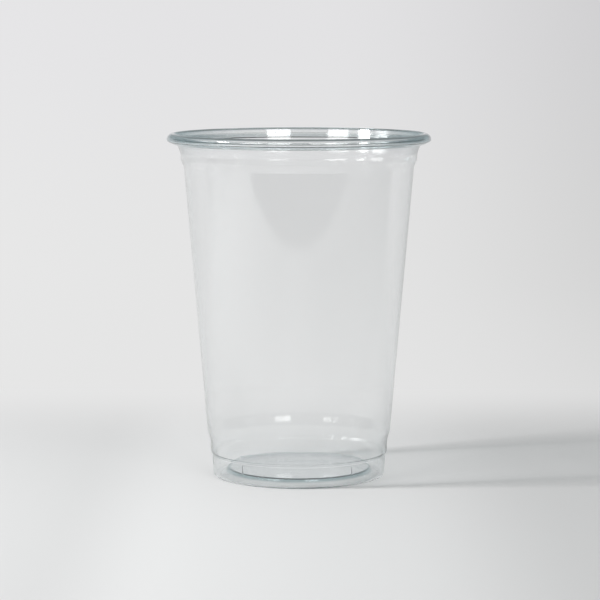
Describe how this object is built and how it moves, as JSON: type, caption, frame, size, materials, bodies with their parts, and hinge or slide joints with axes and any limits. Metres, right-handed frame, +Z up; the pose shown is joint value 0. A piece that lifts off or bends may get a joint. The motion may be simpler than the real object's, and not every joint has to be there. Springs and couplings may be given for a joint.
{
  "type": "disposable plastic cup",
  "caption": "Clear disposable cold-drink cup: tapered thin-sheet wall, rolled rim, lid band, stacking step, ribbed foot and raised base panel.",
  "frame": {"origin": "on the cup's axis at the floor that the foot ring stands on", "axes": "+Z up the cup's axis towards the mouth; X and Y are square to it, with a pair of foot ribs about 30 degrees to each side of -Y"},
  "size_m": [0.095, 0.095, 0.124],
  "materials": {
    "clear_sheet": "clear, smooth and glossy thermoformed sheet, with faint flow waviness and a slightly blue-green cut edge"
  },
  "bodies": {
    "root": {"cup": "clear_sheet"}
  },
  "joints": []
}
